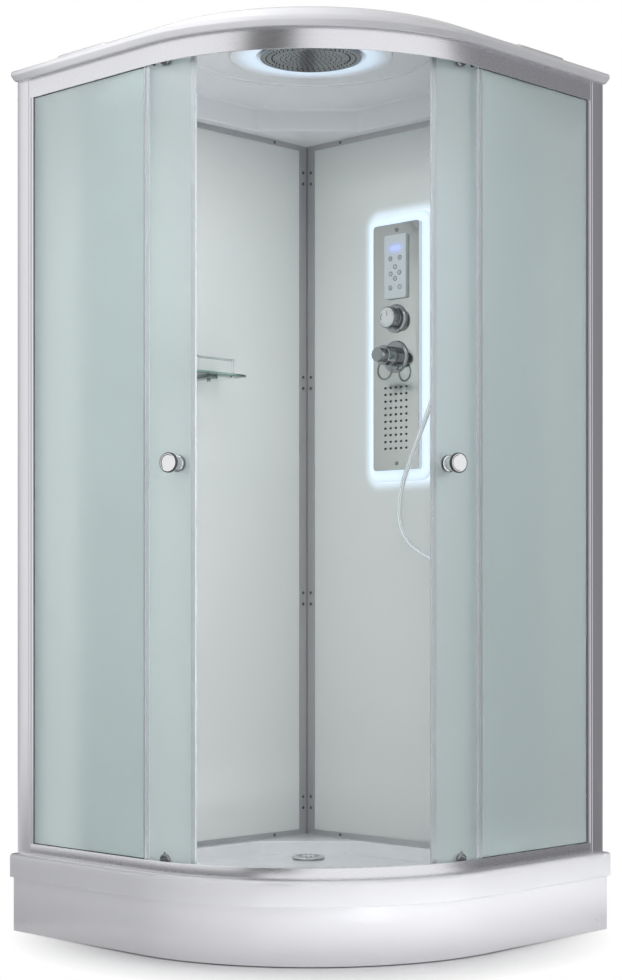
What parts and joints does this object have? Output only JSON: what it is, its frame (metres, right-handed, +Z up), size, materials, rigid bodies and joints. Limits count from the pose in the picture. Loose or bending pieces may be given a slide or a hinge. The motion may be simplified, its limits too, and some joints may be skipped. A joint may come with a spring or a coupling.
{
  "type": "shower cabin",
  "caption": "Quadrant shower cabin with a raised tray, frosted side glass, curved sliding doors, roof with rain head and light ring, control column, shelf and hand shower.",
  "frame": {"origin": "underside of the foot under the middle of the 1 m square footprint, on the floor", "axes": "+Z up; the tiled corner is towards -X and +Y, and the rounded front faces +X and -Y"},
  "size_m": [1, 1.036, 2.1035],
  "materials": {
    "white_acrylic": "glossy",
    "zinc_steel": "satin",
    "dark_plastic": "matte",
    "grey_plastic": "matte",
    "chrome": "polished",
    "panel_glass": "glossy",
    "satin_aluminium": "satin",
    "dark_steel": "satin",
    "frosted_glass": "frosted",
    "dark_rubber": "matte",
    "clear_vinyl": "clear",
    "lit_diffuser": "lit",
    "copper_pipe": "satin",
    "mirror_steel": "polished",
    "white_plastic": "satin",
    "black_gloss": "glossy",
    "green_glass": "polished",
    "chrome_hose": "polished",
    "roller_nylon": "satin"
  },
  "bodies": {
    "cabin": {"tray": "white_acrylic", "apron": "white_acrylic", "base_frame": "zinc_steel", "feet": "dark_plastic", "drain_trap": "grey_plastic", "wall_panels": "panel_glass", "wall_frames": "satin_aluminium", "corner_column": "satin_aluminium", "frame_screws": "dark_steel", "wall_posts": "satin_aluminium", "header_rail": "satin_aluminium", "sill_rail": "satin_aluminium", "door_tracks": "satin_aluminium", "fixed_glasses": "frosted_glass", "glazing_gaskets": "dark_rubber", "edge_seals": "clear_vinyl", "roof_shell": "white_acrylic", "light_ring": "lit_diffuser", "rain_head": "chrome", "water_pipes": "copper_pipe", "column_plate": "mirror_steel", "column_light": "lit_diffuser", "keypad": "white_plastic", "display": "black_gloss", "valve_trims": "chrome", "jets": "dark_rubber", "shelf_glass": "green_glass", "shelf_rail": "chrome", "riser_rail": "chrome", "shower_hose": "chrome_hose"},
    "left_door": {"left_door_glass": "frosted_glass", "left_door_seals": "clear_vinyl", "left_door_knob": "chrome", "left_roller_mounts": "chrome"},
    "left_top_wheel_a": {"left_top_wheel_a": "roller_nylon"},
    "left_top_wheel_b": {"left_top_wheel_b": "roller_nylon"},
    "left_low_wheel_a": {"left_low_wheel_a": "roller_nylon"},
    "left_low_wheel_b": {"left_low_wheel_b": "roller_nylon"},
    "right_door": {"right_door_glass": "frosted_glass", "right_door_seals": "clear_vinyl", "right_door_knob": "chrome", "right_roller_mounts": "chrome"},
    "right_top_wheel_a": {"right_top_wheel_a": "roller_nylon"},
    "right_top_wheel_b": {"right_top_wheel_b": "roller_nylon"},
    "right_low_wheel_a": {"right_low_wheel_a": "roller_nylon"},
    "right_low_wheel_b": {"right_low_wheel_b": "roller_nylon"},
    "button_1": {"button_1": "white_plastic"},
    "button_2": {"button_2": "white_plastic"},
    "button_3": {"button_3": "white_plastic"},
    "button_4": {"button_4": "white_plastic"},
    "button_5": {"button_5": "white_plastic"},
    "button_6": {"button_6": "white_plastic"},
    "button_7": {"button_7": "white_plastic"},
    "button_8": {"button_8": "white_plastic"},
    "diverter_knob": {"diverter_knob": "chrome"},
    "mixer_handle": {"mixer_handle": "chrome"},
    "mixer_lever": {"mixer_lever": "chrome"},
    "slider": {"slider": "chrome"},
    "handset": {"handset": "chrome"},
    "drain_cover": {"drain_cover": "chrome"}
  },
  "joints": [
    {"name": "left_door_slide", "type": "hinge", "parent": "cabin", "child": "left_door", "pos_m": [-0.10131, 0.18026, 1], "axis": [0, 0, 1], "range_deg": [0, 24.3]},
    {"name": "left_top_wheel_a_spin", "type": "hinge", "parent": "left_door", "child": "left_top_wheel_a", "pos_m": [-0.00621, -0.44102, 1.981], "axis": [0.2062, -0.9785, 0], "range_deg": [-1595, 20]},
    {"name": "left_top_wheel_b_spin", "type": "hinge", "parent": "left_door", "child": "left_top_wheel_b", "pos_m": [-0.25233, -0.42985, 1.981], "axis": [-0.294, -0.9558, 0], "range_deg": [-1595, 20]},
    {"name": "left_low_wheel_a_spin", "type": "hinge", "parent": "left_door", "child": "left_low_wheel_a", "pos_m": [-0.00621, -0.44102, 0.211], "axis": [0.2062, -0.9785, 0], "range_deg": [-1448, 20]},
    {"name": "left_low_wheel_b_spin", "type": "hinge", "parent": "left_door", "child": "left_low_wheel_b", "pos_m": [-0.25233, -0.42985, 0.211], "axis": [-0.294, -0.9558, 0], "range_deg": [-1448, 20]},
    {"name": "right_door_slide", "type": "hinge", "parent": "cabin", "child": "right_door", "pos_m": [-0.18026, 0.10131, 1], "axis": [0, 0, -1], "range_deg": [0, 24.3]},
    {"name": "right_top_wheel_a_spin", "type": "hinge", "parent": "right_door", "child": "right_top_wheel_a", "pos_m": [0.44102, 0.00621, 1.981], "axis": [0.9785, -0.2062, 0], "range_deg": [-20, 1595]},
    {"name": "right_top_wheel_b_spin", "type": "hinge", "parent": "right_door", "child": "right_top_wheel_b", "pos_m": [0.42985, 0.25233, 1.981], "axis": [0.9558, 0.294, 0], "range_deg": [-20, 1595]},
    {"name": "right_low_wheel_a_spin", "type": "hinge", "parent": "right_door", "child": "right_low_wheel_a", "pos_m": [0.44102, 0.00621, 0.211], "axis": [0.9785, -0.2062, 0], "range_deg": [-20, 1448]},
    {"name": "right_low_wheel_b_spin", "type": "hinge", "parent": "right_door", "child": "right_low_wheel_b", "pos_m": [0.42985, 0.25233, 0.211], "axis": [0.9558, 0.294, 0], "range_deg": [-20, 1448]},
    {"name": "button_1_press", "type": "slide", "parent": "cabin", "child": "button_1", "axis": [0, 1, 0], "range_m": [0, 0.0012], "stiffness_N_per_m": 400, "springref_m": -0.0005},
    {"name": "button_2_press", "type": "slide", "parent": "cabin", "child": "button_2", "axis": [0, 1, 0], "range_m": [0, 0.0012], "stiffness_N_per_m": 400, "springref_m": -0.0005},
    {"name": "button_3_press", "type": "slide", "parent": "cabin", "child": "button_3", "axis": [0, 1, 0], "range_m": [0, 0.0012], "stiffness_N_per_m": 400, "springref_m": -0.0005},
    {"name": "button_4_press", "type": "slide", "parent": "cabin", "child": "button_4", "axis": [0, 1, 0], "range_m": [0, 0.0012], "stiffness_N_per_m": 400, "springref_m": -0.0005},
    {"name": "button_5_press", "type": "slide", "parent": "cabin", "child": "button_5", "axis": [0, 1, 0], "range_m": [0, 0.0012], "stiffness_N_per_m": 400, "springref_m": -0.0005},
    {"name": "button_6_press", "type": "slide", "parent": "cabin", "child": "button_6", "axis": [0, 1, 0], "range_m": [0, 0.0012], "stiffness_N_per_m": 400, "springref_m": -0.0005},
    {"name": "button_7_press", "type": "slide", "parent": "cabin", "child": "button_7", "axis": [0, 1, 0], "range_m": [0, 0.0012], "stiffness_N_per_m": 400, "springref_m": -0.0005},
    {"name": "button_8_press", "type": "slide", "parent": "cabin", "child": "button_8", "axis": [0, 1, 0], "range_m": [0, 0.0012], "stiffness_N_per_m": 400, "springref_m": -0.0005},
    {"name": "diverter_turn", "type": "hinge", "parent": "cabin", "child": "diverter_knob", "pos_m": [-0.14, 0.43, 1.501], "axis": [0, -1, 0], "range_deg": [-90, 90]},
    {"name": "mixer_turn", "type": "hinge", "parent": "cabin", "child": "mixer_handle", "pos_m": [-0.14, 0.43, 1.403], "axis": [0, -1, 0], "range_deg": [-45, 45]},
    {"name": "mixer_lift", "type": "hinge", "parent": "mixer_handle", "child": "mixer_lever", "pos_m": [-0.14, 0.415, 1.392], "axis": [-1, 0, 0], "range_deg": [0, 25]},
    {"name": "slider_height", "type": "slide", "parent": "cabin", "child": "slider", "axis": [0, 0, 1], "range_m": [-0.5, 0.04], "deforming": ["shower_hose"]},
    {"name": "handset_tilt", "type": "hinge", "parent": "slider", "child": "handset", "pos_m": [0.15, 0.383, 1.8], "axis": [1, 0, 0], "range_deg": [-20, 20], "deforming": ["shower_hose"]},
    {"name": "drain_cover_lift", "type": "slide", "parent": "cabin", "child": "drain_cover", "axis": [0, 0, 1], "range_m": [0, 0.08]}
  ],
  "couplings": [
    {"joint": "left_top_wheel_a_spin", "follows": "left_door_slide", "ratio": -64.796},
    {"joint": "left_top_wheel_b_spin", "follows": "left_door_slide", "ratio": -64.796},
    {"joint": "left_low_wheel_a_spin", "follows": "left_door_slide", "ratio": -58.74},
    {"joint": "left_low_wheel_b_spin", "follows": "left_door_slide", "ratio": -58.74},
    {"joint": "right_top_wheel_a_spin", "follows": "right_door_slide", "ratio": 64.796},
    {"joint": "right_top_wheel_b_spin", "follows": "right_door_slide", "ratio": 64.796},
    {"joint": "right_low_wheel_a_spin", "follows": "right_door_slide", "ratio": 58.74},
    {"joint": "right_low_wheel_b_spin", "follows": "right_door_slide", "ratio": 58.74}
  ]
}
